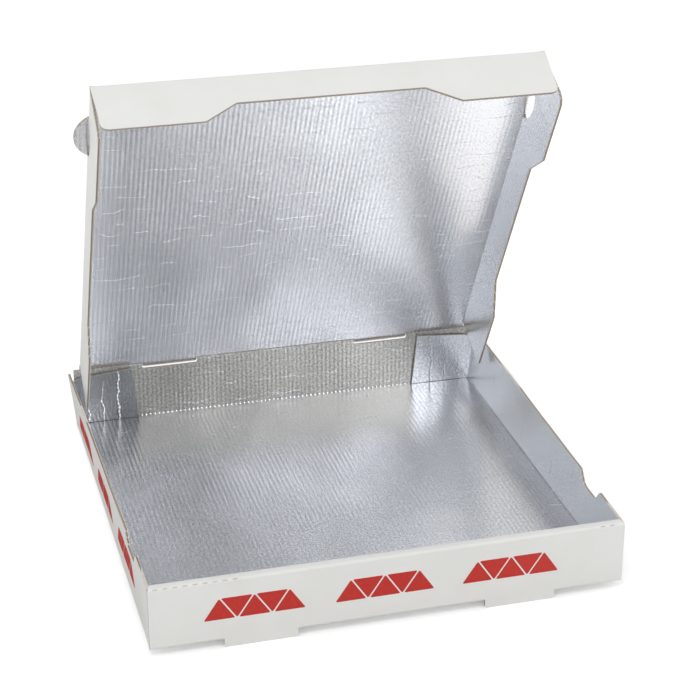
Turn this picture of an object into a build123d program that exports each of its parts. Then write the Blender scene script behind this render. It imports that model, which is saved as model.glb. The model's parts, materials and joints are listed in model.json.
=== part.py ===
from build123d import *
import math
import os

# A take-away pizza box, folded from one blank of fluted board with foil on its inside, in millimetres.
# X runs across the front, -Y is the front, +Y is the hinge side, and Z = 0 is the surface it stands on.
# The box is shown with its lid part open and leaning forward over the tray.

# Board and folded outline
board = 1.8
fold_radius = 1.5
crease_gap = 0.3
box_width = 300
box_depth = 306
side_height = 41.8
side_lean = 4.5

# Front wall, folded over to a double wall, with two feet cut from the floor
front_height = 42.0
front_thickness = 7.0
roll_radius = 2.0
roll_end_gap = 0.6
front_tuck_width = 36
front_tuck_drop = 2.4
foot_drop = 5.0
foot_width = 45.5
foot_centre = 82.25
foot_corner = 2.0

# Corner flaps, folded inward in front of the back wall
corner_flap_width = 44
corner_flap_drop = 0.8
corner_flap_fall = 3.0
corner_bevel_width = 8
corner_bevel_drop = 3.0

# Steam notch in each side wall, under the tab of the lid
notch_length = 34
notch_bottom_length = 20
notch_depth = 8.5
notch_corner = 3.5

# Lid, with the air it keeps inside the tray when it is shut
open_angle = 60.5
lid_rest_gap = 1.8
lid_side_clearance = 2.7
lid_front_clearance = 6.1
lid_floor_clearance = 3.0
lid_rear_clearance = 5.5
flap_splay = 1.8
flap_inset = 1.0

# Front flap of the lid: two deep ears and a shallow middle
ear_lift = 4.1
ear_step = 13
ear_inner_half = 59.5
ear_outer_half = 81
ear_corner = 5

# Side flaps of the lid: deep at both ends, shallow between
side_front_length = 58
side_front_slope = 22
side_rear_length = 62
side_rear_slope = 27
side_step = 12.6
side_front_bevel = 4
side_front_bevel_height = 10

# Half-round steam tab of the lid, cut out of each side flap
vent_setback = 44
vent_length = 34
vent_reach = 9

# Tongues of the lid, standing in notches at the top of the back wall
tongue_width = 40
tongue_centre = 79.8
tongue_length = 4.8
tongue_corner = 1.6
tongue_clearance = 0.5

# Places that follow from the sizes
hinge_height = side_height + board / 2 + lid_rest_gap
lean_back = math.radians(open_angle)
tongue_overhang = tongue_length * math.cos(lean_back) + board / 2 * (math.sin(lean_back) - 1)
back_y = (box_depth - max(tongue_overhang, 0)) / 2
front_y = back_y - box_depth
floor_bottom = foot_drop
floor_top = foot_drop + board
side_top = foot_drop + side_height
front_top = foot_drop + front_height
hinge_y = back_y - board / 2
hinge_z = foot_drop + hinge_height
half_width = box_width / 2
wall_inner = half_width - board
lid_half_width = wall_inner - lid_side_clearance
lid_length = box_depth - board / 2 - front_thickness - lid_front_clearance
side_flap_depth = hinge_height - board / 2 - lid_floor_clearance
vent_centre = lid_length - vent_setback


with BuildPart() as tray:
    # Floor, which runs into the folds of all four walls
    with BuildSketch(Plane.XY.offset(floor_bottom)):
        with Locations((0, (front_y + back_y) / 2)):
            Rectangle(box_width - board, box_depth - board)
    extrude(amount=board)

    # Front wall: outer panel, folded top strip and inner panel, as one section along X
    inner_face = front_y + front_thickness
    with BuildSketch(Plane.YZ):
        with BuildLine():
            Polyline(
                (front_y, floor_bottom),
                (front_y, front_top),
                (inner_face, front_top),
                (inner_face, floor_top + crease_gap),
                (inner_face - board, floor_top + crease_gap),
                (inner_face - board, front_top - board),
                (front_y + board, front_top - board),
                (front_y + board, floor_bottom),
                close=True,
            )
        front_section = make_face()
        top_corners = front_section.vertices().group_by(Axis.Y)[-1]
        fillet(top_corners, roll_radius)
        fillet(front_section.vertices().group_by(Axis.Y)[0].sort_by(Axis.X)[0], fold_radius)
    extrude(amount=wall_inner - roll_end_gap, both=True)

    # Outer panel to its full width, with rounded upper corners
    front_face = Plane(origin=(0, front_y, 0), x_dir=(1, 0, 0), z_dir=(0, -1, 0))
    with BuildSketch(front_face):
        with Locations((0, (floor_bottom + fold_radius + front_top - roll_radius) / 2)):
            Rectangle(box_width, front_top - floor_bottom - fold_radius - roll_radius)
    extrude(amount=-board)

    # Feet: the outer panel runs on down, out of a slot in the floor
    with BuildSketch(Plane.XY.offset(floor_bottom)):
        with Locations(
            (-foot_centre, front_y + board + foot_drop / 2),
            (foot_centre, front_y + board + foot_drop / 2),
        ):
            Rectangle(foot_width, foot_drop)
    extrude(amount=board, mode=Mode.SUBTRACT)
    with BuildSketch(front_face) as feet:
        with Locations((-foot_centre, floor_top / 2), (foot_centre, floor_top / 2)):
            Rectangle(foot_width, floor_top)
        fillet(feet.vertices().group_by(Axis.Y)[0], foot_corner)
    extrude(amount=-board)

    # Back wall, with a notch for each tongue of the lid
    wall_top = hinge_z - board / 2 - crease_gap
    with BuildSketch(Plane.YZ):
        with BuildLine():
            Polyline(
                (back_y - board, floor_bottom),
                (back_y - board, wall_top),
                (back_y, wall_top),
                (back_y, floor_bottom),
                close=True,
            )
        back_section = make_face()
        fillet(back_section.vertices().group_by(Axis.Y)[0].sort_by(Axis.X)[-1], fold_radius)
    extrude(amount=half_width, both=True)
    notch_floor = hinge_z - tongue_length - tongue_clearance
    back_face = Plane(origin=(0, back_y, 0), x_dir=(1, 0, 0), z_dir=(0, -1, 0))
    with BuildSketch(back_face) as tongue_notches:
        with Locations((-tongue_centre, notch_floor), (tongue_centre, notch_floor)):
            Rectangle(
                tongue_width + 2 * tongue_clearance,
                2 * tongue_length,
                align=(Align.CENTER, Align.MIN),
            )
        fillet(tongue_notches.vertices().group_by(Axis.Y)[0], tongue_corner)
    extrude(amount=board, mode=Mode.SUBTRACT)

    # Right side wall: upright at the front, where the front wall holds it, and leaning out at the rear
    wall_front = front_y + board + crease_gap
    wall_rear = back_y - board - crease_gap
    for y, lean in ((wall_front, 0), (wall_rear, side_lean)):
        section_plane = Plane(origin=(0, y, 0), x_dir=(1, 0, 0), z_dir=(0, -1, 0))
        with BuildSketch(section_plane) as wall_section:
            with BuildLine():
                Polyline(
                    (wall_inner, floor_bottom),
                    (half_width, floor_bottom),
                    (half_width + lean, side_top),
                    (wall_inner + lean, side_top),
                    close=True,
                )
            make_face()
            fillet(wall_section.vertices().group_by(Axis.Y)[0].sort_by(Axis.X)[-1], fold_radius)
    loft()

    # Its steam notch, in line with the tab of the lid
    notch_y = hinge_y - vent_centre
    with BuildSketch(Plane.YZ.offset(wall_inner - board)) as steam_notch:
        with BuildLine():
            Polyline(
                (notch_y - notch_length / 2, side_top + board),
                (notch_y - notch_length / 2, side_top),
                (notch_y - notch_bottom_length / 2, side_top - notch_depth),
                (notch_y + notch_bottom_length / 2, side_top - notch_depth),
                (notch_y + notch_length / 2, side_top),
                (notch_y + notch_length / 2, side_top + board),
                close=True,
            )
        make_face()
        fillet(steam_notch.vertices().group_by(Axis.Y)[0], notch_corner)
    extrude(amount=side_lean + 3 * board, mode=Mode.SUBTRACT)

    # Its front flap, held inside the double front wall
    tuck_face = Plane(origin=(0, wall_front, 0), x_dir=(1, 0, 0), z_dir=(0, -1, 0))
    tuck_bottom = floor_top + crease_gap
    tuck_height = front_height - front_tuck_drop - board - crease_gap
    with BuildSketch(tuck_face):
        with Locations((half_width - board / 2, tuck_bottom)):
            Rectangle(front_tuck_width, tuck_height, align=(Align.MAX, Align.MIN))
    extrude(amount=-board)

    # Its corner flap, folded in front of the back wall
    flap_top = side_top - corner_flap_drop
    flap_outer_top = flap_top - corner_flap_fall
    bevel_top = flap_outer_top - corner_bevel_drop
    flap_foot = floor_top + crease_gap
    flap_outer = half_width - board / 2
    lean_at_bevel = side_lean * (bevel_top - floor_bottom) / side_height
    lean_at_foot = side_lean * (flap_foot - floor_bottom) / side_height
    rear_face = Plane(origin=(0, wall_rear, 0), x_dir=(1, 0, 0), z_dir=(0, -1, 0))
    with BuildSketch(rear_face):
        with BuildLine():
            Polyline(
                (wall_inner - corner_flap_width, flap_foot),
                (flap_outer + lean_at_foot, flap_foot),
                (flap_outer + lean_at_bevel, bevel_top),
                (flap_outer - corner_bevel_width, flap_outer_top),
                (wall_inner - corner_flap_width, flap_top),
                close=True,
            )
        make_face()
    extrude(amount=board)

    # The left side is the same
    mirror(about=Plane.YZ)

tray.part.label = "tray"


# The lid is drawn shut, with the hinge line on the X axis, and is then opened
with BuildPart() as lid:
    # Panel
    with BuildSketch(Plane.XY.offset(-board / 2)):
        Rectangle(2 * lid_half_width, lid_length, align=(Align.CENTER, Align.MAX))
    extrude(amount=board)

    # Front flap with its two ears
    ear_depth = side_flap_depth - ear_lift
    middle_depth = ear_depth - ear_step
    lid_front = Plane(origin=(0, -lid_length, board / 2), x_dir=(1, 0, 0), z_dir=(0, -1, 0))
    with BuildSketch(lid_front) as front_flap:
        flap_half = lid_half_width - flap_inset
        with BuildLine():
            Polyline(
                (-flap_half, 0),
                (-flap_half, -ear_depth),
                (-ear_outer_half, -ear_depth),
                (-ear_inner_half, -middle_depth),
                (ear_inner_half, -middle_depth),
                (ear_outer_half, -ear_depth),
                (flap_half, -ear_depth),
                (flap_half, 0),
                close=True,
            )
        make_face()
        low_corners = front_flap.vertices().group_by(Axis.Y)[0].sort_by(Axis.X)
        fillet([low_corners[0], low_corners[-1]], ear_corner)
    extrude(amount=-board)

    # Right side flap, drawn along its length from the hinge and down its depth
    splay = math.radians(flap_splay)
    flap_plane = Plane(
        origin=(lid_half_width, 0, board / 2),
        x_dir=(0, -1, 0),
        z_dir=(math.cos(splay), 0, math.sin(splay)),
    )
    flap_front = lid_length - board - flap_inset
    shallow = side_flap_depth - side_step
    with BuildSketch(flap_plane):
        with BuildLine():
            Polyline(
                (lid_rear_clearance, 0),
                (lid_rear_clearance, side_flap_depth),
                (side_rear_length, side_flap_depth),
                (side_rear_length + side_rear_slope, shallow),
                (flap_front - side_front_length - side_front_slope, shallow),
                (flap_front - side_front_length, side_flap_depth),
                (flap_front - side_front_bevel, side_flap_depth),
                (flap_front, side_flap_depth - side_front_bevel_height),
                (flap_front, 0),
                close=True,
            )
        make_face()
    extrude(amount=-board)

    # Its half-round hole, left by the steam tab
    with BuildSketch(flap_plane):
        with BuildLine():
            Line((vent_centre - vent_length / 2, board), (vent_centre + vent_length / 2, board))
            ThreePointArc(
                (vent_centre + vent_length / 2, board),
                (vent_centre, board + vent_reach),
                (vent_centre - vent_length / 2, board),
            )
        make_face()
    extrude(amount=-board, mode=Mode.SUBTRACT)

    # The steam tab, which stays in the plane of the panel
    with BuildSketch(Plane.XY.offset(-board / 2)):
        with BuildLine():
            Polyline(
                (lid_half_width, -vent_centre + vent_length / 2),
                (lid_half_width - board, -vent_centre + vent_length / 2),
                (lid_half_width - board, -vent_centre - vent_length / 2),
                (lid_half_width, -vent_centre - vent_length / 2),
            )
            ThreePointArc(
                (lid_half_width, -vent_centre - vent_length / 2),
                (lid_half_width + vent_reach, -vent_centre),
                (lid_half_width, -vent_centre + vent_length / 2),
            )
        make_face()
    extrude(amount=board)

    # Rounded rear edge, which turns on the crease
    with Locations(Location((0, 0, 0), (0, 90, 0))):
        Cylinder(board / 2, 2 * lid_half_width)

    # Tongues, which stand past the crease in the plane of the panel
    with BuildSketch(Plane.XY.offset(-board / 2)) as tongues:
        with Locations((-tongue_centre, 0), (tongue_centre, 0)):
            Rectangle(tongue_width, 2 * tongue_length)
        fillet(tongues.vertices().group_by(Axis.Y)[-1], tongue_corner)
    extrude(amount=board)

    # The left side is the same
    mirror(about=Plane.YZ)

lid.part.locate(Location((0, hinge_y, hinge_z), (-open_angle, 0, 0)))
lid.part.label = "lid"

os.makedirs("parts", exist_ok=True)
export_step(tray.part, "parts/tray.step")
export_step(lid.part, "parts/lid.step")
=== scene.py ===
import math

import bmesh
import bpy
from mathutils import Matrix, Vector, noise
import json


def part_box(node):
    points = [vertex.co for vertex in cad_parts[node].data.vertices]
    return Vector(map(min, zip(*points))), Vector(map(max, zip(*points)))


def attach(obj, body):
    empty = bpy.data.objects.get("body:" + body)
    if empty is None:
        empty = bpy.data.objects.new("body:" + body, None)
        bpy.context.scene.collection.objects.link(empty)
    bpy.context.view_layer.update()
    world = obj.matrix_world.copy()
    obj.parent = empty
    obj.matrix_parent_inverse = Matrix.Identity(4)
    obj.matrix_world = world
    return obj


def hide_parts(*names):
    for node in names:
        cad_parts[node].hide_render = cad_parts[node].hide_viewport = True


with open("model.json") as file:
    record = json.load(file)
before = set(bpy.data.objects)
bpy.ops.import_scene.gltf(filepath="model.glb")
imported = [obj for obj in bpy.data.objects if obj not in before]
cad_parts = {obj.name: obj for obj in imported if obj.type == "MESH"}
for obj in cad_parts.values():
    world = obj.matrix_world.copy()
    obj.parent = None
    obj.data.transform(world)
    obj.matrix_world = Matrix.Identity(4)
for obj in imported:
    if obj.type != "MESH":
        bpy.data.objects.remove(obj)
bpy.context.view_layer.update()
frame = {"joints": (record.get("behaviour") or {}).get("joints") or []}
bpy.ops.object.select_all(action="DESELECT")

# Camera
# It stands in front and a little to the left, above the rim, and looks down into the open box.
# Its place, turn and focal length are those that were fitted to the corners of the box in the photograph.
bpy.ops.object.camera_add(
    location=(-0.2935, -1.1202, 0.6537),
    rotation=(math.radians(90 - 24.97), math.radians(-0.08), math.radians(-15.36)),
)
camera = bpy.context.object
camera.name = "camera"
camera.data.sensor_width = 36
camera.data.lens = 100.06
bpy.context.scene.camera = camera

# Tray: floor, side walls and their flaps
# One sheet of fine fluted board, foil on its inside and white coated paper on its outside. It is laid out
# flat, its flaps and walls are folded up on their creases, and then it gets the thickness of the board.
tray_low, tray_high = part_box("tray")
front_y = tray_low.y
back_y = tray_high.y
hinge = Vector(frame["joints"][0]["pos_m"])
board = 0.0018
flute_pitch = 0.0032
fold_radius = 0.0020
half_width = 0.150
underside = 0.005
side_height = 0.0418
side_lean = 0.0045
wall_setback = 0.0021
wall_front = front_y + wall_setback
wall_rear = back_y - wall_setback
tiny = 1e-5
small = 1e-4


def linear(hex_colour):
    """Turns an sRGB hex colour into linear values with full alpha."""
    values = [int(hex_colour[i : i + 2], 16) / 255 for i in (1, 3, 5)]
    return [v / 12.92 if v <= 0.04045 else ((v + 0.055) / 1.055) ** 2.4 for v in values] + [1]


def add_node(tree, kind, inputs=None, **settings):
    """Adds a node, applies its settings, and sets or links each named input."""
    added = tree.nodes.new(kind)
    for name, value in settings.items():
        setattr(added, name, value)
    for name, value in (inputs or {}).items():
        if isinstance(value, bpy.types.NodeSocket):
            tree.links.new(value, added.inputs[name])
        else:
            added.inputs[name].default_value = value
    return added


def new_material(name):
    """Starts a material with its shader and output."""
    material = bpy.data.materials.new(name)
    material.use_nodes = True
    tree = material.node_tree
    tree.nodes.clear()
    shader = add_node(tree, "ShaderNodeBsdfPrincipled")
    add_node(tree, "ShaderNodeOutputMaterial", {"Surface": shader.outputs["BSDF"]})
    return material, tree, shader


def pick(piece, kind, test):
    """Goes to edit mode and selects the vertices, edges or faces whose middle passes the test."""
    bpy.ops.object.mode_set(mode="EDIT")
    bpy.ops.mesh.select_mode(type=kind)
    bpy.ops.mesh.select_all(action="DESELECT")
    shape = bmesh.from_edit_mesh(piece.data)
    parts = {"VERT": shape.verts, "EDGE": shape.edges, "FACE": shape.faces}[kind]
    for part in parts:
        corners = [part] if kind == "VERT" else list(part.verts)
        if test(sum((corner.co for corner in corners), Vector()) / len(corners)):
            part.select_set(True)
    shape.select_flush_mode()
    bmesh.update_edit_mesh(piece.data)


def turn(angle, axis, centre):
    """Turns what is selected by the right-hand rule, as a fold about a crease."""
    bpy.ops.transform.rotate(value=-math.radians(angle), orient_axis=axis, center_override=centre)


def extrude(offset):
    """Runs the selected edges out into a new strip of board."""
    bpy.ops.mesh.extrude_edges_move(TRANSFORM_OT_translate={"value": offset})


def slice_sheet(piece, axis, places):
    """Cuts lines across the whole sheet, for creases and for the ends of flaps."""
    bpy.ops.object.mode_set(mode="EDIT")
    for place in places:
        bpy.ops.mesh.select_all(action="SELECT")
        point = Vector()
        point[axis] = place
        normal = Vector()
        normal[axis] = 1
        bpy.ops.mesh.bisect(plane_co=point, plane_no=normal)


def start_sheet(name, low, high):
    """Adds a flat sheet between two corners."""
    if bpy.context.object and bpy.context.object.mode != "OBJECT":
        bpy.ops.object.mode_set(mode="OBJECT")
    bpy.ops.object.select_all(action="DESELECT")
    bpy.ops.mesh.primitive_plane_add(size=1, location=(0, 0, 0))
    sheet = bpy.context.object
    sheet.name = name
    sheet.data.name = name
    for corner in sheet.data.vertices:
        corner.co = (
            high[0] if corner.co.x > 0 else low[0],
            high[1] if corner.co.y > 0 else low[1],
            low[2],
        )
    return sheet


def apply_modifier(piece, modifier):
    """Applies one modifier to its piece."""
    bpy.ops.object.mode_set(mode="OBJECT")
    bpy.context.view_layer.objects.active = piece
    bpy.ops.object.modifier_apply(modifier=modifier.name)


def thicken(piece, inside):
    """Gives the sheet its thickness: foil on the inside, liner on the outside, core on the cut edges."""
    bpy.ops.object.mode_set(mode="OBJECT")
    for material in (inside, liner, core):
        piece.data.materials.append(material)
    solid = piece.modifiers.new("board", "SOLIDIFY")
    solid.thickness = board
    solid.offset = 1
    solid.use_quality_normals = True
    solid.material_offset = 1
    solid.material_offset_rim = 2
    apply_modifier(piece, solid)


def cut(piece, cutter):
    """Takes a cutter's shape out of a piece, with core on the new edges, and removes the cutter."""
    bpy.ops.object.mode_set(mode="OBJECT")
    for material in (foil, liner, core):
        cutter.data.materials.append(material)
    for face in cutter.data.polygons:
        face.material_index = 2
    difference = piece.modifiers.new("cut", "BOOLEAN")
    difference.operation = "DIFFERENCE"
    difference.solver = "EXACT"
    difference.object = cutter
    apply_modifier(piece, difference)
    bpy.data.objects.remove(cutter)


def map_board(piece, place_on_blank):
    """Lays the piece out on the flat blank, in metres, and marks how deep each cut edge lies."""
    bpy.ops.object.mode_set(mode="OBJECT")
    mesh = piece.data
    blank = mesh.uv_layers.new(name="blank")
    edge = mesh.uv_layers.new(name="edge")
    on_foil = {v for face in mesh.polygons if face.material_index == 0 for v in face.vertices}
    for face in mesh.polygons:
        for loop in face.loop_indices:
            vertex = mesh.loops[loop].vertex_index
            place = place_on_blank(mesh.vertices[vertex].co, face.normal)
            blank.data[loop].uv = place
            edge.data[loop].uv = (place[0], 1.0 if vertex in on_foil else 0.0)


def finish_board(piece, body):
    """Smooths the folds, keeps the cut edges sharp and puts the piece on its body."""
    bpy.ops.object.mode_set(mode="OBJECT")
    bpy.ops.object.select_all(action="DESELECT")
    piece.select_set(True)
    bpy.context.view_layer.objects.active = piece
    bpy.ops.object.shade_smooth_by_angle(angle=math.radians(35))
    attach(piece, body)


# Aluminium foil laminated to the board: a bright rolled metal with fine streaks across the sheet. The
# flutes under it show as fine straight ribs, and short thin wrinkles cross them where the board was bent;
# the wrinkles are painted pale and less metallic, a painted glint.
def foil_material(
    name, dull, bright, roughness, rib_low, rib_high, grain, wrinkle_start, painted_glint_from=1.0,
    score_at=1.0,
):
    """Builds one state of the foil: its tints, how far its ribs and grain stand out, its wear, and the
    painted glint on its wrinkles.

    The blank's X runs across the flutes. A noise scale of 650 gives grains about 1.5 mm apart.
    """
    wrinkle_gap = 0.012
    wrinkle_wander = 0.012
    wrinkle_sharpness = 90.0
    wrinkle_height = 0.00012
    warp_height = 0.0012
    streak_height = 0.00003
    score_half_width = 0.0007
    score_depth = 0.0003
    material, tree, shader = new_material(name)
    blank_map = add_node(tree, "ShaderNodeUVMap", uv_map="blank")
    split = add_node(tree, "ShaderNodeSeparateXYZ", {"Vector": blank_map.outputs["UV"]})
    place = add_node(tree, "ShaderNodeTexCoord")
    turns = add_node(
        tree, "ShaderNodeMath", {0: split.outputs["X"], 1: 2 * math.pi / flute_pitch},
        operation="MULTIPLY",
    )
    rib_wave = add_node(tree, "ShaderNodeMath", {0: turns.outputs[0]}, operation="COSINE")
    patches = add_node(
        tree, "ShaderNodeTexNoise", {"Vector": place.outputs["Object"], "Scale": 22.0, "Detail": 3.0},
    )
    rib_height = add_node(
        tree, "ShaderNodeMapRange",
        {
            "Value": patches.outputs["Fac"], "From Min": 0.35, "From Max": 0.7,
            "To Min": rib_low, "To Max": rib_high,
        },
    )
    ribs = add_node(
        tree, "ShaderNodeMath", {0: rib_wave.outputs[0], 1: rib_height.outputs["Result"]},
        operation="MULTIPLY",
    )
    bend = add_node(
        tree, "ShaderNodeTexNoise", {"Vector": blank_map.outputs["UV"], "Scale": 60.0, "Detail": 4.0},
    )
    bent = add_node(
        tree, "ShaderNodeMath", {0: bend.outputs["Fac"], 1: wrinkle_wander, 2: split.outputs["Y"]},
        operation="MULTIPLY_ADD",
    )
    turns = add_node(
        tree, "ShaderNodeMath", {0: bent.outputs[0], 1: 2 * math.pi / wrinkle_gap}, operation="MULTIPLY",
    )
    lines = add_node(tree, "ShaderNodeMath", {0: turns.outputs[0]}, operation="COSINE")
    lines = add_node(
        tree, "ShaderNodeMath", {0: lines.outputs[0], 1: 0.5, 2: 0.5}, operation="MULTIPLY_ADD",
    )
    lines = add_node(
        tree, "ShaderNodeMath", {0: lines.outputs[0], 1: wrinkle_sharpness}, operation="POWER",
    )
    spread = add_node(
        tree, "ShaderNodeMapping", {"Vector": blank_map.outputs["UV"], "Scale": (0.4, 1.0, 1.0)},
    )
    here = add_node(
        tree, "ShaderNodeTexNoise", {"Vector": spread.outputs["Vector"], "Scale": 125.0, "Detail": 2.0},
    )
    amount = add_node(
        tree, "ShaderNodeMapRange",
        {"Value": here.outputs["Fac"], "From Min": wrinkle_start, "From Max": wrinkle_start + 0.1},
    )
    dots = add_node(
        tree, "ShaderNodeMath", {0: rib_wave.outputs[0], 1: 0.35, 2: 0.65}, operation="MULTIPLY_ADD",
    )
    wrinkles_and_glint = add_node(
        tree, "ShaderNodeMath", {0: lines.outputs[0], 1: amount.outputs["Result"]}, operation="MULTIPLY",
    )
    wrinkles_and_glint = add_node(
        tree, "ShaderNodeMath", {0: wrinkles_and_glint.outputs[0], 1: dots.outputs[0]}, operation="MULTIPLY",
    )
    # Painted highlight: past a set place along the blank, the whole foil takes the pale wrinkle tint, for
    # the lit free ends of the corner flaps.
    in_painted_glint = add_node(
        tree, "ShaderNodeMath", {0: split.outputs["Y"], 1: painted_glint_from}, operation="GREATER_THAN",
    )
    wrinkles_and_glint = add_node(
        tree, "ShaderNodeMath", {0: wrinkles_and_glint.outputs[0], 1: in_painted_glint.outputs[0]}, operation="MAXIMUM",
    )
    rolled = add_node(
        tree, "ShaderNodeMapping", {"Vector": blank_map.outputs["UV"], "Scale": (0.06, 1.0, 1.0)},
    )
    streaks = add_node(
        tree, "ShaderNodeTexNoise", {"Vector": rolled.outputs["Vector"], "Scale": 900.0, "Detail": 2.0},
    )
    speckle = add_node(
        tree, "ShaderNodeTexNoise", {"Vector": blank_map.outputs["UV"], "Scale": 650.0, "Detail": 3.0},
    )
    warp = add_node(
        tree, "ShaderNodeTexNoise", {"Vector": place.outputs["Object"], "Scale": 14.0, "Detail": 1.0},
    )
    height = add_node(
        tree, "ShaderNodeMath", {0: warp.outputs["Fac"], 1: warp_height, 2: ribs.outputs[0]},
        operation="MULTIPLY_ADD",
    )
    height = add_node(
        tree, "ShaderNodeMath", {0: streaks.outputs["Fac"], 1: streak_height, 2: height.outputs[0]},
        operation="MULTIPLY_ADD",
    )
    height = add_node(
        tree, "ShaderNodeMath", {0: speckle.outputs["Fac"], 1: grain, 2: height.outputs[0]},
        operation="MULTIPLY_ADD",
    )
    height = add_node(
        tree, "ShaderNodeMath", {0: wrinkles_and_glint.outputs[0], 1: wrinkle_height, 2: height.outputs[0]},
        operation="MULTIPLY_ADD",
    )
    from_score = add_node(
        tree, "ShaderNodeMath", {0: split.outputs["X"], 1: score_at}, operation="SUBTRACT",
    )
    from_score = add_node(tree, "ShaderNodeMath", {0: from_score.outputs[0]}, operation="ABSOLUTE")
    score = add_node(
        tree, "ShaderNodeMapRange",
        {
            "Value": from_score.outputs[0], "From Min": 0.0, "From Max": score_half_width,
            "To Min": -score_depth, "To Max": 0.0,
        },
        interpolation_type="SMOOTHSTEP",
    )
    height = add_node(
        tree, "ShaderNodeMath", {0: height.outputs[0], 1: score.outputs["Result"]}, operation="ADD",
    )
    relief = add_node(
        tree, "ShaderNodeBump", {"Height": height.outputs[0], "Strength": 1.0, "Distance": 1.0},
    )
    worn = add_node(
        tree, "ShaderNodeMapRange", {"Value": speckle.outputs["Fac"], "From Min": 0.38, "From Max": 0.62},
    )
    tint = add_node(
        tree, "ShaderNodeMix",
        {"Factor": worn.outputs["Result"], 6: linear(dull), 7: linear(bright)},
        data_type="RGBA",
    )
    # Painted glint: the wrinkles, and the pale ends of the corner flaps, are painted near white and made
    # less metallic, so they show as lines of light.
    tint = add_node(
        tree, "ShaderNodeMix",
        {"Factor": wrinkles_and_glint.outputs[0], 6: tint.outputs[2], 7: linear("#F6F7F9")},
        data_type="RGBA",
    )
    metal = add_node(
        tree, "ShaderNodeMath", {0: wrinkles_and_glint.outputs[0], 1: -0.7, 2: 1.0}, operation="MULTIPLY_ADD",
    )
    tree.links.new(tint.outputs[2], shader.inputs["Base Color"])
    tree.links.new(relief.outputs["Normal"], shader.inputs["Normal"])
    tree.links.new(metal.outputs[0], shader.inputs["Metallic"])
    shader.inputs["Roughness"].default_value = roughness
    return material


# Four states of the one foil: wrinkled on the lid, smoother on the floor with a sharp line scored along
# the foot of each side wall, rougher on the back wall and painted darker there as painted shade, and
# crackled on the corner flaps, whose free ends are painted pale as a painted highlight.
foil = foil_material(
    "aluminium_foil_on_board", "#DCDEE2", "#F3F4F6", 0.24,
    rib_low=0.000009, rib_high=0.000024, grain=0.00003, wrinkle_start=0.48,
)
smooth_foil = foil_material(
    "smooth_foil_in_tray", "#DCDEE2", "#F3F4F6", 0.26,
    rib_low=0.000009, rib_high=0.000024, grain=0.00002, wrinkle_start=0.57, score_at=half_width + 0.005,
)
# Painted shade: the back wall has the same foil as the floor it is folded from, given darker tints for the
# shade it stands in, and a higher roughness.
back_wall_foil_with_painted_shade = foil_material(
    "foil_with_painted_shade_on_back_wall", "#A3A29E", "#CDCCC9", 0.36,
    rib_low=0.00001, rib_high=0.00002, grain=0.00002, wrinkle_start=0.5,
)
crackled_foil = foil_material(
    "crackled_foil_on_flaps", "#C2C5CA", "#D6D9DE", 0.2,
    rib_low=0.000002, rib_high=0.000006, grain=0.000004, wrinkle_start=0.4, painted_glint_from=0.0447,
)

# White clay-coated liner: smooth, with a slight sheen, faint washboard lines from the flutes under it,
# and a little unevenness in its shade from handling.
liner_rib_height = 0.000006
liner_fibre_height = 0.00002
liner_cloud_height = 0.0004
liner, tree, shader = new_material("white_coated_liner")
blank_map = add_node(tree, "ShaderNodeUVMap", uv_map="blank")
split = add_node(tree, "ShaderNodeSeparateXYZ", {"Vector": blank_map.outputs["UV"]})
place = add_node(tree, "ShaderNodeTexCoord")
rib_turns = add_node(
    tree, "ShaderNodeMath", {0: split.outputs["X"], 1: 2 * math.pi / flute_pitch}, operation="MULTIPLY",
)
rib_wave = add_node(tree, "ShaderNodeMath", {0: rib_turns.outputs[0]}, operation="COSINE")
fibre = add_node(
    tree, "ShaderNodeTexNoise", {"Vector": place.outputs["Object"], "Scale": 900.0, "Detail": 4.0},
)
cloud = add_node(
    tree, "ShaderNodeTexNoise", {"Vector": place.outputs["Object"], "Scale": 30.0, "Detail": 4.0},
)
height = add_node(
    tree, "ShaderNodeMath", {0: rib_wave.outputs[0], 1: liner_rib_height}, operation="MULTIPLY",
)
height = add_node(
    tree, "ShaderNodeMath", {0: fibre.outputs["Fac"], 1: liner_fibre_height, 2: height.outputs[0]},
    operation="MULTIPLY_ADD",
)
height = add_node(
    tree, "ShaderNodeMath", {0: cloud.outputs["Fac"], 1: liner_cloud_height, 2: height.outputs[0]},
    operation="MULTIPLY_ADD",
)
relief = add_node(tree, "ShaderNodeBump", {"Height": height.outputs[0], "Strength": 1.0, "Distance": 1.0})
tint = add_node(
    tree, "ShaderNodeMix",
    {"Factor": cloud.outputs["Fac"], 6: linear("#E4E4E0"), 7: linear("#EFEFED")},
    data_type="RGBA",
)
tree.links.new(tint.outputs[2], shader.inputs["Base Color"])
tree.links.new(relief.outputs["Normal"], shader.inputs["Normal"])
shader.inputs["Roughness"].default_value = 0.5

# Cut edge of the board: a grey-brown recycled paper wave between two liners, with hollows that are painted
# dark as shade. The sizes are shares of the board's thickness, measured from its middle.
wave_reach = 0.33
wave_half_weight = 0.12
liner_from_middle = 0.36
core_fuzz_height = 0.0001
core, tree, shader = new_material("fluted_board_core")
edge_map = add_node(tree, "ShaderNodeUVMap", uv_map="edge")
split = add_node(tree, "ShaderNodeSeparateXYZ", {"Vector": edge_map.outputs["UV"]})
place = add_node(tree, "ShaderNodeTexCoord")
rib_turns = add_node(
    tree, "ShaderNodeMath", {0: split.outputs["X"], 1: 2 * math.pi / flute_pitch}, operation="MULTIPLY",
)
rib_wave = add_node(tree, "ShaderNodeMath", {0: rib_turns.outputs[0]}, operation="COSINE")
wave_line = add_node(
    tree, "ShaderNodeMath", {0: rib_wave.outputs[0], 1: wave_reach, 2: 0.5}, operation="MULTIPLY_ADD",
)
from_wave = add_node(
    tree, "ShaderNodeMath", {0: split.outputs["Y"], 1: wave_line.outputs[0]}, operation="SUBTRACT",
)
from_wave = add_node(tree, "ShaderNodeMath", {0: from_wave.outputs[0]}, operation="ABSOLUTE")
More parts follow.
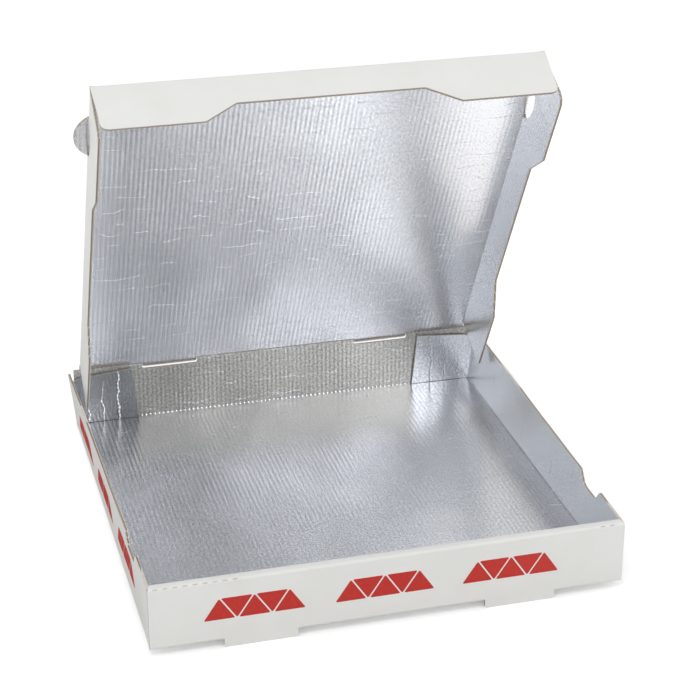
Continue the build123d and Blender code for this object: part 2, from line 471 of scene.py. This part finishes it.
in_wave = add_node(
    tree, "ShaderNodeMath", {0: from_wave.outputs[0], 1: wave_half_weight}, operation="LESS_THAN",
)
from_middle = add_node(tree, "ShaderNodeMath", {0: split.outputs["Y"], 1: 0.5}, operation="SUBTRACT")
from_middle = add_node(tree, "ShaderNodeMath", {0: from_middle.outputs[0]}, operation="ABSOLUTE")
in_liner = add_node(
    tree, "ShaderNodeMath", {0: from_middle.outputs[0], 1: liner_from_middle}, operation="GREATER_THAN",
)
paper = add_node(
    tree, "ShaderNodeMath", {0: in_wave.outputs[0], 1: in_liner.outputs[0]}, operation="MAXIMUM",
)
fuzz = add_node(
    tree, "ShaderNodeTexNoise", {"Vector": place.outputs["Object"], "Scale": 600.0, "Detail": 3.0},
)
paper_tint = add_node(
    tree, "ShaderNodeMix",
    {"Factor": fuzz.outputs["Fac"], 6: linear("#C4BAAE"), 7: linear("#E6DED5")},
    data_type="RGBA",
)
# Painted shade: where there is no paper, in the hollows of the flutes, the edge takes a dark grey-brown
# that stands in for the shade inside them.
tint = add_node(
    tree, "ShaderNodeMix",
    {"Factor": paper.outputs[0], 6: linear("#8A7F74"), 7: paper_tint.outputs[2]},
    data_type="RGBA",
)
height = add_node(
    tree, "ShaderNodeMath", {0: fuzz.outputs["Fac"], 1: core_fuzz_height}, operation="MULTIPLY",
)
relief = add_node(tree, "ShaderNodeBump", {"Height": height.outputs[0], "Strength": 1.0, "Distance": 1.0})
tree.links.new(tint.outputs[2], shader.inputs["Base Color"])
tree.links.new(relief.outputs["Normal"], shader.inputs["Normal"])
shader.inputs["Roughness"].default_value = 0.85

flap_low = 0.0024
flap_high = 0.035
flap_root = 0.0089
flap_run = 0.0369
flap_spread = 0.003
tuck_run = 0.036
tray_sheet = start_sheet(
    "tray_sheet", (-half_width, wall_front, underside), (half_width, wall_rear, underside),
)
pick(tray_sheet, "EDGE", lambda p: p.x > half_width - tiny)
extrude((side_height, 0, 0))
pick(tray_sheet, "EDGE", lambda p: p.x < -half_width + tiny)
extrude((-side_height, 0, 0))
slice_sheet(tray_sheet, 0, [s * (half_width + h) for s in (-1, 1) for h in (flap_low, flap_high)])
slice_sheet(tray_sheet, 0, [-0.1, -0.05, 0, 0.05, 0.1])
slice_sheet(tray_sheet, 1, [wall_front + (wall_rear - wall_front) * i / 14 for i in range(1, 14)])


def in_flap(height):
    """Tells whether a height above the crease lies on the part of a side wall's end that has a flap."""
    return flap_low < height < flap_high


pick(tray_sheet, "EDGE", lambda p: p.y > wall_rear - tiny and in_flap(abs(p.x) - half_width))
extrude((0, flap_root, 0))
for side in (1, -1):
    pick(tray_sheet, "VERT", lambda p: p.y > wall_rear + 0.008 and p.x * side > half_width + 0.03)
    bpy.ops.transform.translate(value=(side * flap_spread, 0, 0))
pick(tray_sheet, "EDGE", lambda p: p.y > wall_rear + flap_root - small)
extrude((0, flap_run, 0))
for side in (1, -1):
    pick(tray_sheet, "VERT", lambda p: p.y > wall_rear + 0.04 and p.x * side > half_width + 0.03)
    bpy.ops.transform.translate(value=(side * flap_spread, 0, 0))
pick(tray_sheet, "EDGE", lambda p: p.y < wall_front + tiny and in_flap(abs(p.x) - half_width))
extrude((0, -tuck_run, 0))
pick(tray_sheet, "VERT", lambda p: p.y > wall_rear + small)
turn(90, "X", (0, wall_rear, underside))
pick(tray_sheet, "VERT", lambda p: p.y < wall_front - small)
turn(-90, "X", (0, wall_front, underside))
pick(tray_sheet, "VERT", lambda p: p.x > half_width + small)
turn(-90, "Y", (half_width, 0, underside))
pick(tray_sheet, "VERT", lambda p: p.x < -half_width - small)
turn(90, "Y", (-half_width, 0, underside))


def on_side_crease(point):
    """Tells whether an edge's middle lies on a crease of the side walls."""
    at_side = abs(abs(point.x) - half_width) < small
    low = point.z < underside + small
    at_end = point.y > wall_rear - small or point.y < wall_front + small
    return at_side and (low or (at_end and in_flap(point.z - underside)))


wall_wobble = 0.0007
flap_clearance = 0.0003
pick(tray_sheet, "EDGE", on_side_crease)
bpy.ops.mesh.bevel(offset=fold_radius, segments=4, profile=0.5, affect="EDGES")
bpy.ops.object.mode_set(mode="OBJECT")
for corner in tray_sheet.data.vertices:
    up = min(max((corner.co.z - underside) / side_height, 0), 1)
    along = (corner.co.y - wall_front) / (wall_rear - wall_front)
    side = 1 if corner.co.x > 0 else -1
    if abs(corner.co.x) > 0.1 and up > 0:
        wobble = wall_wobble * noise.noise(Vector((corner.co.x * 5, corner.co.y * 18, 4.0)))
        corner.co.x += side * up * (side_lean * 0.96 * along + wobble * (1 - along) * along * 4)
    if corner.co.y > wall_rear - small and abs(corner.co.z - underside - flap_low) < small:
        corner.co.z -= flap_clearance
thicken(tray_sheet, smooth_foil)

notch_y = hinge.y - 0.248
notch_depth = 0.0085
notch_half_top = 0.0185
notch_half_floor = 0.010
notch_rounding = 0.0035
bpy.ops.object.select_all(action="DESELECT")
bpy.ops.mesh.primitive_cube_add(size=1, location=(0, 0, 0))
cutter = bpy.context.object
for corner in cutter.data.vertices:
    top = corner.co.z > 0
    reach = notch_half_top if top else notch_half_floor
    corner.co = (
        math.copysign(0.2, corner.co.x),
        notch_y + math.copysign(reach, corner.co.y),
        underside + side_height + (0.0018 if top else -notch_depth),
    )
pick(cutter, "EDGE", lambda p: abs(p.x) < 0.01 and p.z < underside + side_height - 0.004)
bpy.ops.mesh.bevel(offset=notch_rounding, segments=5, profile=0.5, affect="EDGES")
cut(tray_sheet, cutter)


def place_tray_sheet(point, normal):
    """The flutes run from front to back on the floor and side walls, and on round the corner flaps."""
    if abs(normal.y) > 0.6 and point.y > wall_rear - 0.003:
        return (half_width + point.z, point.y - abs(point.x))
    return (abs(point.x) + point.z, point.y)


map_board(tray_sheet, place_tray_sheet)
tray_sheet.data.materials.append(crackled_foil)
for face in tray_sheet.data.polygons:
    if face.material_index == 0 and face.normal.y < -0.9 and face.center.y > wall_rear - 0.004:
        face.material_index = 3
finish_board(tray_sheet, "tray")
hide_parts("tray")

# Back wall
# It is folded up from the floor's rear edge, with its flutes upright, and stands behind the corner flaps.
# Two notches at its top are left where the tongues of the lid were cut out of it.
wall_top = hinge.z - 0.00092
notch_floor = hinge.z - 0.0053
tongue_centre = 0.0798
tongue_width = 0.040
notch_corner = 0.0016
outer_fold = fold_radius * 0.98
back_wall = start_sheet(
    "back_wall", (-half_width, back_y - fold_radius, underside), (half_width, back_y, underside),
)
pick(back_wall, "EDGE", lambda p: p.y > back_y - tiny)
extrude((0, notch_floor - underside, 0))
pick(back_wall, "EDGE", lambda p: p.y > back_y + 0.03)
extrude((0, wall_top - notch_floor, 0))
notch_ends = [tongue_centre - tongue_width / 2 - 0.0005, tongue_centre + tongue_width / 2 + 0.0005]
slice_sheet(back_wall, 0, [s * x for s in (-1, 1) for x in notch_ends])
pick(
    back_wall, "FACE",
    lambda p: p.y > back_y + notch_floor - underside and notch_ends[0] < abs(p.x) < notch_ends[1],
)
bpy.ops.mesh.delete(type="FACE")


def at_notch_corner(point):
    """Tells whether a vertex is at a lower corner of one of the notches."""
    at_floor = abs(point.y - back_y - notch_floor + underside) < tiny
    return at_floor and min(abs(abs(point.x) - end) for end in notch_ends) < tiny


pick(back_wall, "VERT", at_notch_corner)
bpy.ops.mesh.bevel(offset=notch_corner, segments=4, profile=0.5, affect="VERTICES")
pick(back_wall, "VERT", lambda p: p.y > back_y + small)
turn(90, "X", (0, back_y, underside))
pick(back_wall, "EDGE", lambda p: abs(p.y - back_y) < tiny and p.z < underside + tiny)
bpy.ops.mesh.bevel(offset=outer_fold, segments=4, profile=0.5, affect="EDGES")
thicken(back_wall, back_wall_foil_with_painted_shade)
map_board(back_wall, lambda p, normal: (p.x, p.z + p.y))
finish_board(back_wall, "tray")

# Where the foil is bent sharply at the foot of the back wall, each flute stands out as a bright tooth.
tooth_size = 0.0011
tooth_count = 67
bpy.ops.object.select_all(action="DESELECT")
bpy.ops.mesh.primitive_cube_add(
    size=1,
    location=(-(tooth_count - 1) * flute_pitch / 2, back_y - board - 0.0002, underside + board + 0.0002),
    rotation=(math.radians(45), 0, 0), scale=(flute_pitch * 0.5, tooth_size, tooth_size),
)
teeth = bpy.context.object
teeth.name = "crease_teeth"
teeth.data.name = teeth.name
bpy.ops.object.transform_apply(location=True, rotation=True, scale=True)
rounding = teeth.modifiers.new("rounding", "BEVEL")
rounding.width = 0.0003
rounding.segments = 3
apply_modifier(teeth, rounding)
row = teeth.modifiers.new("row", "ARRAY")
row.use_relative_offset = False
row.use_constant_offset = True
row.constant_offset_displace = (flute_pitch, 0, 0)
row.count = tooth_count
apply_modifier(teeth, row)
teeth.data.materials.append(foil)
map_board(teeth, lambda p, normal: (p.x, p.z + p.y))
finish_board(teeth, "tray")

# Front wall
# The outer panel is folded up from the floor, over a 7 mm top strip and down again inside, so that its
# white side shows on all three. Two feet are cut out of the floor and stand straight down from it.
panel_y = front_y + 0.00005
front_top = 0.047
top_strip = 0.007
roll_inset = 0.0024
foot_centre = 0.08225
foot_width = 0.0455
fold_top = underside + fold_radius
foot_ends = [foot_centre - foot_width / 2, foot_centre + foot_width / 2]
slit_length = 0.003
slit_height = 0.0463
slit_pitch = 0.006
foot_rounding = 0.002
slit_places = [-0.1455 + slit_pitch * i for i in range(9)] + [0.1355, 0.1415]
front_wall = start_sheet(
    "front_wall",
    (-half_width, panel_y - (front_top - underside), underside),
    (half_width, panel_y - fold_radius, underside),
)
slice_sheet(front_wall, 0, [s * x for s in (-1, 1) for x in foot_ends])
pick(front_wall, "VERT", lambda p: True)
turn(-90, "X", (0, panel_y, underside))


def in_foot(x):
    """Tells whether a place across the front wall is at a foot."""
    return foot_ends[0] < abs(x) < foot_ends[1]


pick(front_wall, "EDGE", lambda p: p.z < fold_top + tiny and in_foot(p.x))
extrude((0, 0, -fold_top))
pick(front_wall, "VERT", lambda p: p.z < tiny)
bpy.ops.mesh.bevel(offset=foot_rounding, segments=4, profile=0.5, affect="VERTICES")
pick(
    front_wall, "EDGE",
    lambda p: abs(p.z - fold_top) < tiny and not in_foot(p.x) and abs(p.x) < half_width - small,
)
extrude((0, 0, -fold_radius))
pick(
    front_wall, "EDGE",
    lambda p: abs(p.z - underside) < tiny and p.y < panel_y + tiny and not in_foot(p.x),
)
extrude((0, fold_radius, 0))
pick(front_wall, "EDGE", lambda p: p.z > front_top - tiny)
extrude((0, top_strip, 0))
pick(front_wall, "VERT", lambda p: p.y > panel_y + 0.006 and abs(p.x) > half_width - tiny)
bpy.ops.transform.resize(value=((half_width - roll_inset) / half_width, 1, 1), center_override=(0, 0, 0))
pick(front_wall, "EDGE", lambda p: p.y > panel_y + top_strip - tiny and p.z > front_top - tiny)
extrude((0, 0, -(front_top - underside - board - 0.0003)))


def on_front_crease(point):
    """Tells whether an edge's middle lies on one of the front wall's three creases."""
    low = abs(point.y - panel_y) < tiny and abs(point.z - underside) < tiny
    at_strip_edge = min(abs(point.y - panel_y), abs(point.y - panel_y - top_strip)) < tiny
    return low or (point.z > front_top - tiny and at_strip_edge)


pick(front_wall, "EDGE", on_front_crease)
bpy.ops.mesh.bevel(offset=outer_fold, segments=4, profile=0.5, affect="EDGES")
thicken(front_wall, foil)
slits = []
for place in slit_places:
    bpy.ops.object.select_all(action="DESELECT")
    bpy.ops.mesh.primitive_cube_add(
        size=1, location=(place, panel_y, slit_height), scale=(slit_length, 0.0016, 0.0006),
    )
    bpy.ops.object.transform_apply(location=True, rotation=True, scale=True)
    slits.append(bpy.context.object)
for slit in slits:
    slit.select_set(True)
bpy.ops.object.join()
cut(front_wall, bpy.context.object)
map_board(front_wall, lambda p, normal: (p.x, p.z + p.y))
finish_board(front_wall, "tray")

# Lid
# It is the rest of the same sheet: a panel, a front flap with two deep ears and a side flap each side.
# It is folded here as when it is shut, with its crease on the X axis, and is then opened about it.
lid_half = 0.1455
lid_length = 0.292
outer = board / 2
ear_depth = 0.0365
middle_depth = 0.0235
flap_depth = 0.0406
shallow_depth = 0.028
flap_rear = -0.0055
flap_front = -0.2892
shallow_rear = -0.089
shallow_front = -0.2092
step_rear = -0.062
step_front = -0.2312
ear_start = 0.0595
ear_slope_end = 0.081
ear_taper = 0.9925
flap_fold = 88.2
tongue_reach = 0.0048
vent_y = -0.248
vent_radius = 0.02055
vent_drop = 0.00975
open_angle = 60.5
lid = start_sheet("lid_sheet", (-lid_half, -lid_length, outer), (lid_half, 0, outer))
pick(lid, "FACE", lambda p: True)
bpy.ops.mesh.flip_normals()
side_stations = [flap_rear, step_rear, shallow_rear, shallow_front, step_front, flap_front]
slice_sheet(lid, 1, side_stations + [-0.03, -0.12, -0.15, -0.18, -0.26])
tongue_ends = [tongue_centre - tongue_width / 2, tongue_centre + tongue_width / 2]
front_stations = [s * x for s in (-1, 1) for x in tongue_ends + [ear_start, ear_slope_end]]
slice_sheet(lid, 0, front_stations + [-0.03, 0, 0.03, -0.12, 0.12])
pick(lid, "EDGE", lambda p: p.y < -lid_length + tiny)
extrude((0, -middle_depth, 0))
pick(lid, "EDGE", lambda p: p.y < -lid_length - middle_depth + tiny and abs(p.x) > ear_start)
extrude((0, -(ear_depth - middle_depth), 0))
pick(lid, "VERT", lambda p: p.y < -lid_length - ear_depth + tiny and abs(p.x) < ear_start + 0.0004)
bpy.ops.transform.translate(value=(0, ear_depth - middle_depth, 0))
bpy.ops.mesh.select_all(action="SELECT")
bpy.ops.mesh.remove_doubles(threshold=0.00002)
pick(lid, "VERT", lambda p: p.y < -lid_length - 0.001 and abs(p.x) > 0.1444)
bpy.ops.transform.resize(value=(ear_taper, 1, 1), center_override=(0, 0, 0))
pick(lid, "VERT", lambda p: p.y < -lid_length - ear_depth + tiny and abs(p.x) > 0.144)
bpy.ops.mesh.bevel(offset=0.005, segments=5, profile=0.5, affect="VERTICES")
for side in (1, -1):
    pick(lid, "EDGE", lambda p: p.x * side > lid_half - tiny and flap_front < p.y < flap_rear)
    extrude((side * shallow_depth, 0, 0))
    pick(
        lid, "EDGE",
        lambda p: p.x * side > lid_half + shallow_depth - tiny and not shallow_front < p.y < shallow_rear,
    )
    extrude((side * (flap_depth - shallow_depth), 0, 0))
    pick(
        lid, "VERT",
        lambda p: p.x * side > lid_half + flap_depth - tiny
        and min(abs(p.y - shallow_rear), abs(p.y - shallow_front)) < tiny,
    )
    bpy.ops.transform.translate(value=(-side * (flap_depth - shallow_depth), 0, 0))
    bpy.ops.mesh.select_all(action="SELECT")
    bpy.ops.mesh.remove_doubles(threshold=0.00002)
    pick(lid, "VERT", lambda p: p.x * side > lid_half + flap_depth - tiny and p.y < flap_front + tiny)
    bpy.ops.mesh.bevel(offset=0.006, segments=2, profile=0.5, affect="VERTICES")
pick(lid, "EDGE", lambda p: p.y > -tiny and tongue_ends[0] < abs(p.x) < tongue_ends[1])
extrude((0, tongue_reach, 0))
pick(lid, "VERT", lambda p: p.y > tongue_reach - small)
bpy.ops.mesh.bevel(offset=notch_corner, segments=4, profile=0.5, affect="VERTICES")
pick(lid, "VERT", lambda p: p.y < -lid_length - small)
turn(90, "X", (0, -lid_length, outer))
pick(lid, "VERT", lambda p: p.x > lid_half + small)
turn(flap_fold, "Y", (lid_half, 0, outer))
pick(lid, "VERT", lambda p: p.x < -lid_half - small)
turn(-flap_fold, "Y", (-lid_half, 0, outer))


def on_lid_crease(point):
    """Tells whether an edge's middle lies on the creases of the lid's three flaps."""
    flat = abs(point.z - outer) < tiny
    at_front = point.y < -lid_length + tiny
    at_side = abs(point.x) > lid_half - tiny and flap_front < point.y < flap_rear
    return flat and (at_front or at_side)


pick(lid, "EDGE", on_lid_crease)
bpy.ops.mesh.bevel(offset=fold_radius, segments=4, profile=0.5, affect="EDGES")
thicken(lid, foil)
for side in (1, -1):
    bpy.ops.object.select_all(action="DESELECT")
    bpy.ops.mesh.primitive_cylinder_add(
        radius=vent_radius, depth=0.02, vertices=72,
        location=(side * (lid_half - fold_radius + 0.01), vent_y, outer + vent_drop),
        rotation=(0, math.radians(90), 0),
    )
    cut(lid, bpy.context.object)


def place_lid(point, normal):
    """The flutes run from the crease to the front, down the front flap and along the side flaps."""
    if point.y < -lid_length + 0.002 and abs(normal.y) > 0.6:
        return (abs(point.x), -lid_length + point.z)
    return (abs(point.x) - point.z, point.y)


def open_lid(piece):
    """Opens a piece of the lid about the crease, from shut to the angle at rest."""
    bpy.ops.object.mode_set(mode="OBJECT")
    piece.data.transform(piece.matrix_world)
    piece.matrix_world = Matrix.Identity(4)
    piece.data.transform(Matrix.Translation(hinge) @ Matrix.Rotation(math.radians(-open_angle), 4, "X"))


map_board(lid, place_lid)
open_lid(lid)
finish_board(lid, "lid")
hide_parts("lid")

# Steam tabs
# A half round of each side flap is cut free, stays flat when the flap is folded, and stands out of the
# side of the lid: it keeps the hole behind it open for steam.
tab_reach = 0.009
tab_half = 0.017
for side, name in ((1, "steam_tab_right"), (-1, "steam_tab_left")):
    bpy.ops.object.select_all(action="DESELECT")
    bpy.ops.mesh.primitive_cylinder_add(
        radius=vent_radius, depth=board, vertices=96,
        location=(side * (lid_half + tab_reach - vent_radius), vent_y, 0),
    )
    tab = bpy.context.object
    tab.name = name
    tab.data.name = name
    tab.data.transform(tab.matrix_world)
    tab.matrix_world = Matrix.Identity(4)
    for axis, place, away in (
        (0, side * (lid_half - fold_radius), -side), (1, vent_y - tab_half, -1), (1, vent_y + tab_half, 1),
    ):
        pick(tab, "FACE", lambda p: True)
        point = Vector()
        point[axis] = place
        normal = Vector()
        normal[axis] = away
        bpy.ops.mesh.bisect(plane_co=point, plane_no=normal, clear_outer=True, use_fill=True)
    bpy.ops.object.mode_set(mode="OBJECT")
    for material in (foil, liner, core):
        tab.data.materials.append(material)
    for face in tab.data.polygons:
        face.material_index = 1 if face.normal.z > 0.9 else 0 if face.normal.z < -0.9 else 2
    map_board(tab, place_lid)
    open_lid(tab)
    finish_board(tab, "lid")

# Crease of the lid
# Between the tongues the board runs on round the top of the back wall. It is crushed there to a narrow
# roll, foil on the inside of the box and white on the outside, that the lid turns on.
for count, (low, high) in enumerate(
    ((-lid_half, -tongue_ends[1]), (-tongue_ends[0], tongue_ends[0]), (tongue_ends[1], lid_half))
):
    bpy.ops.object.select_all(action="DESELECT")
    bpy.ops.mesh.primitive_cylinder_add(
        radius=outer, depth=high - low, vertices=20,
        location=((low + high) / 2, 0, 0), rotation=(0, math.radians(90), 0),
    )
    roll = bpy.context.object
    roll.name = f"lid_crease_{count + 1}"
    roll.data.name = roll.name
    bpy.ops.object.transform_apply(location=True, rotation=True, scale=True)
    for material in (foil, liner, core):
        roll.data.materials.append(material)
    for face in roll.data.polygons:
        face.material_index = 2 if abs(face.normal.x) > 0.9 else 0 if face.normal.z < 0.3 else 1
    map_board(roll, lambda p, normal: (p.x, p.y))
    open_lid(roll)
    finish_board(roll, "lid")

# Red print
# One flat red ink, printed on the liner before the blank was cut. Three groups on the front wall and on
# each side wall stand where the box has its printing: plain slices of the same weight and width.
ink, tree, shader = new_material("red_printing_ink")
place = add_node(tree, "ShaderNodeTexCoord")
mottle = add_node(
    tree, "ShaderNodeTexNoise", {"Vector": place.outputs["Object"], "Scale": 500.0, "Detail": 3.0},
)
tint = add_node(
    tree, "ShaderNodeMix",
    {"Factor": mottle.outputs["Fac"], 6: linear("#BE2019"), 7: linear("#D6392D")},
    data_type="RGBA",
)
tree.links.new(tint.outputs[2], shader.inputs["Base Color"])
shader.inputs["Roughness"].default_value = 0.45

print_height = 0.0145
print_low = 0.020
group_width = 0.063
group_centres = (-0.0815, -0.0005, 0.0800)
ink_film = 0.00004
side_lift = 0.00006
shapes = 5
step = 0.0108
slice_overlap = 0.9
slice_rounding = 0.0012


def print_group(name):
    """Draws one flat group of slices that point up and down in turn, with its middle at the origin."""
    bpy.ops.object.select_all(action="DESELECT")
    slices = []
    for count in range(shapes):
        up = 1 if count % 2 == 0 else -1
        bpy.ops.mesh.primitive_circle_add(vertices=3, radius=1, fill_type="NGON", location=(0, 0, 0))
        piece = bpy.context.object
        wide = step * slice_overlap
        corners = ((-wide, -up), (wide, -up), (0, up))
        for corner, (x, z) in zip(piece.data.vertices, corners):
            corner.co = (x, z * print_height / 2, 0)
        pick(piece, "VERT", lambda p: True)
        bpy.ops.mesh.bevel(offset=slice_rounding, segments=4, profile=0.5, affect="VERTICES")
        bpy.ops.transform.translate(value=(-group_width / 2 + step * (count + 0.5), 0, 0))
        bpy.ops.object.mode_set(mode="OBJECT")
        slices.append(piece)
    for piece in slices:
        piece.select_set(True)
    bpy.context.view_layer.objects.active = slices[0]
    bpy.ops.object.join()
    group = bpy.context.object
    group.name = name
    group.data.name = name
    group.data.materials.append(ink)
    return group


def finish_print(group):
    """Gives the ink its film and puts the group on the tray."""
    film = group.modifiers.new("film", "SOLIDIFY")
    film.thickness = ink_film
    film.offset = 0
    apply_modifier(group, film)
    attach(group, "tray")


for count, centre in enumerate(group_centres):
    group = print_group(f"front_print_{count + 1}")
    to_front = Matrix.Translation((centre, panel_y, print_low + print_height / 2))
    group.data.transform(to_front @ Matrix.Rotation(math.radians(90), 4, "X"))
    finish_print(group)

for side, side_name in ((1, "right"), (-1, "left")):
    for count, centre in enumerate(group_centres):
        group = print_group(f"{side_name}_print_{count + 1}")
        to_side = Matrix.Translation((0, side * centre, print_low + print_height / 2))
        to_side = to_side @ Matrix.Rotation(math.radians(90 * side), 4, "Z")
        to_side = to_side @ Matrix.Rotation(math.radians(90), 4, "X")
        group.data.transform(to_side)
        slice_sheet(group, 1, [side * centre + 0.004 * i for i in range(-8, 9)])
        slice_sheet(group, 2, [print_low + print_height * i / 4 for i in range(1, 4)])
        bpy.ops.object.mode_set(mode="OBJECT")
        for corner in group.data.vertices:
            start = Vector((side * 0.2, corner.co.y, corner.co.z))
            wall_point = tray_sheet.ray_cast(start, Vector((-side, 0, 0)))[1]
            corner.co.x = wall_point.x + side * side_lift
        finish_print(group)

# Floor and light
# The box stands on a plain white table, which is tipped by under one degree to meet both the front feet
# and the rear edge. What the foil mirrors is shaded: dark straight in front, and bright to both sides. On
# the
# table this is a painted reflection: mirrored rays see it tinted dark in front of the box and glowing at
# the sides.
table_glow = 0.3
ambient_light = 0.75
mirrored_glow = 0.5
soft_box_light = 2.3


def to_sides(tree, across, middle, near, far):
    """Runs smoothly from 0 at the dark middle in front of the box to 1 at both sides."""
    away = add_node(tree, "ShaderNodeMath", {0: across, 1: middle}, operation="SUBTRACT")
    away = add_node(tree, "ShaderNodeMath", {0: away.outputs[0]}, operation="ABSOLUTE")
    ramp = add_node(
        tree, "ShaderNodeMapRange", {"Value": away.outputs[0], "From Min": near, "From Max": far},
        interpolation_type="SMOOTHSTEP",
    )
    return ramp.outputs["Result"]


table_with_painted_reflection, tree, shader = new_material("white_table_with_painted_reflection")
place = add_node(tree, "ShaderNodeTexCoord")
split = add_node(tree, "ShaderNodeSeparateXYZ", {"Vector": place.outputs["Object"]})
sides = to_sides(tree, split.outputs["X"], -0.05, 0.1, 0.26)
ray = add_node(tree, "ShaderNodeLightPath")
# Painted reflection: only for mirrored rays, the table is tinted dark in front of the box and glows at
# both sides, beyond what the lamps give it.
shade = add_node(tree, "ShaderNodeMath", {0: 1.0, 1: sides}, operation="SUBTRACT")
shade = add_node(
    tree, "ShaderNodeMath", {0: shade.outputs[0], 1: ray.outputs["Is Glossy Ray"]}, operation="MULTIPLY",
)
tint = add_node(
    tree, "ShaderNodeMix",
    {"Factor": shade.outputs[0], 6: linear("#F4F4F4"), 7: linear("#505050")},
    data_type="RGBA",
)
glow = add_node(tree, "ShaderNodeMath", {0: sides, 1: ray.outputs["Is Glossy Ray"]}, operation="MULTIPLY")
glow = add_node(tree, "ShaderNodeMath", {0: glow.outputs[0], 1: mirrored_glow}, operation="MULTIPLY")
glow = add_node(
    tree, "ShaderNodeMath",
    {0: ray.outputs["Is Camera Ray"], 1: table_glow, 2: glow.outputs[0]},
    operation="MULTIPLY_ADD",
)
tree.links.new(tint.outputs[2], shader.inputs["Base Color"])
tree.links.new(glow.outputs[0], shader.inputs["Emission Strength"])
shader.inputs["Roughness"].default_value = 0.9
shader.inputs["Emission Color"].default_value = (1, 1, 1, 1)
bpy.ops.object.select_all(action="DESELECT")
bpy.ops.mesh.primitive_circle_add(vertices=64, radius=6, fill_type="NGON", location=(0, front_y, 0))
floor = bpy.context.object
floor.name = "floor"
floor.rotation_euler = (math.atan2(underside, back_y - front_y), 0, 0)
floor.data.materials.append(table_with_painted_reflection)

world = bpy.data.worlds.new("studio")
bpy.context.scene.world = world
world.use_nodes = True
tree = world.node_tree
tree.nodes.clear()
ray = add_node(tree, "ShaderNodeLightPath")
place = add_node(tree, "ShaderNodeTexCoord")
split = add_node(tree, "ShaderNodeSeparateXYZ", {"Vector": place.outputs["Generated"]})
sides = to_sides(tree, split.outputs["X"], 0.0, 0.14, 0.34)
upper = add_node(
    tree, "ShaderNodeMapRange",
    {"Value": split.outputs["Z"], "From Min": 0.1, "From Max": 0.5, "To Min": 0.5, "To Max": 1.0},
)
behind = add_node(
    tree, "ShaderNodeMapRange",
    {"Value": split.outputs["Y"], "From Min": 0.1, "From Max": 0.6, "To Min": 1.0, "To Max": 0.35},
)
rightward = add_node(
    tree, "ShaderNodeMapRange",
    {"Value": split.outputs["X"], "From Min": -0.3, "From Max": 0.3, "To Min": 0.8, "To Max": 1.1},
)
mirrored = add_node(tree, "ShaderNodeMath", {0: sides, 1: upper.outputs["Result"]}, operation="MULTIPLY")
mirrored = add_node(
    tree, "ShaderNodeMath", {0: mirrored.outputs[0], 1: rightward.outputs["Result"]},
    operation="MULTIPLY",
)
mirrored = add_node(
    tree, "ShaderNodeMath", {0: mirrored.outputs[0], 1: behind.outputs["Result"]}, operation="MULTIPLY",
)
mirrored = add_node(
    tree, "ShaderNodeMath", {0: mirrored.outputs[0], 1: soft_box_light}, operation="MULTIPLY",
)
unseen = add_node(
    tree, "ShaderNodeMix", {0: ray.outputs["Is Glossy Ray"], 2: ambient_light, 3: mirrored.outputs[0]},
)
shown = add_node(tree, "ShaderNodeMix", {0: ray.outputs["Is Camera Ray"], 2: unseen.outputs[0], 3: 1.0})
room = add_node(tree, "ShaderNodeBackground", {"Color": (1, 1, 1, 1), "Strength": shown.outputs[0]})
add_node(tree, "ShaderNodeOutputWorld", {"Surface": room.outputs["Background"]})

for name, place, wide, deep, power, mirror_only in (
    ("key_light", (-0.5, -0.9, 1.7), 0.6, 0.6, 7, False),
    ("soft_box", (0.6, -0.8, 0.8), 0.4, 0.9, 2, True),
):
    bpy.ops.object.light_add(type="AREA", location=place)
    lamp = bpy.context.object
    lamp.name = name
    lamp.data.shape = "RECTANGLE"
    lamp.data.size = wide
    lamp.data.size_y = deep
    lamp.data.energy = power
    lamp.visible_glossy = mirror_only
    lamp.visible_diffuse = not mirror_only
    lamp.rotation_euler = (Vector((0, 0, 0.08)) - Vector(place)).to_track_quat("-Z", "Y").to_euler()

bpy.context.scene.view_settings.view_transform = "Standard"
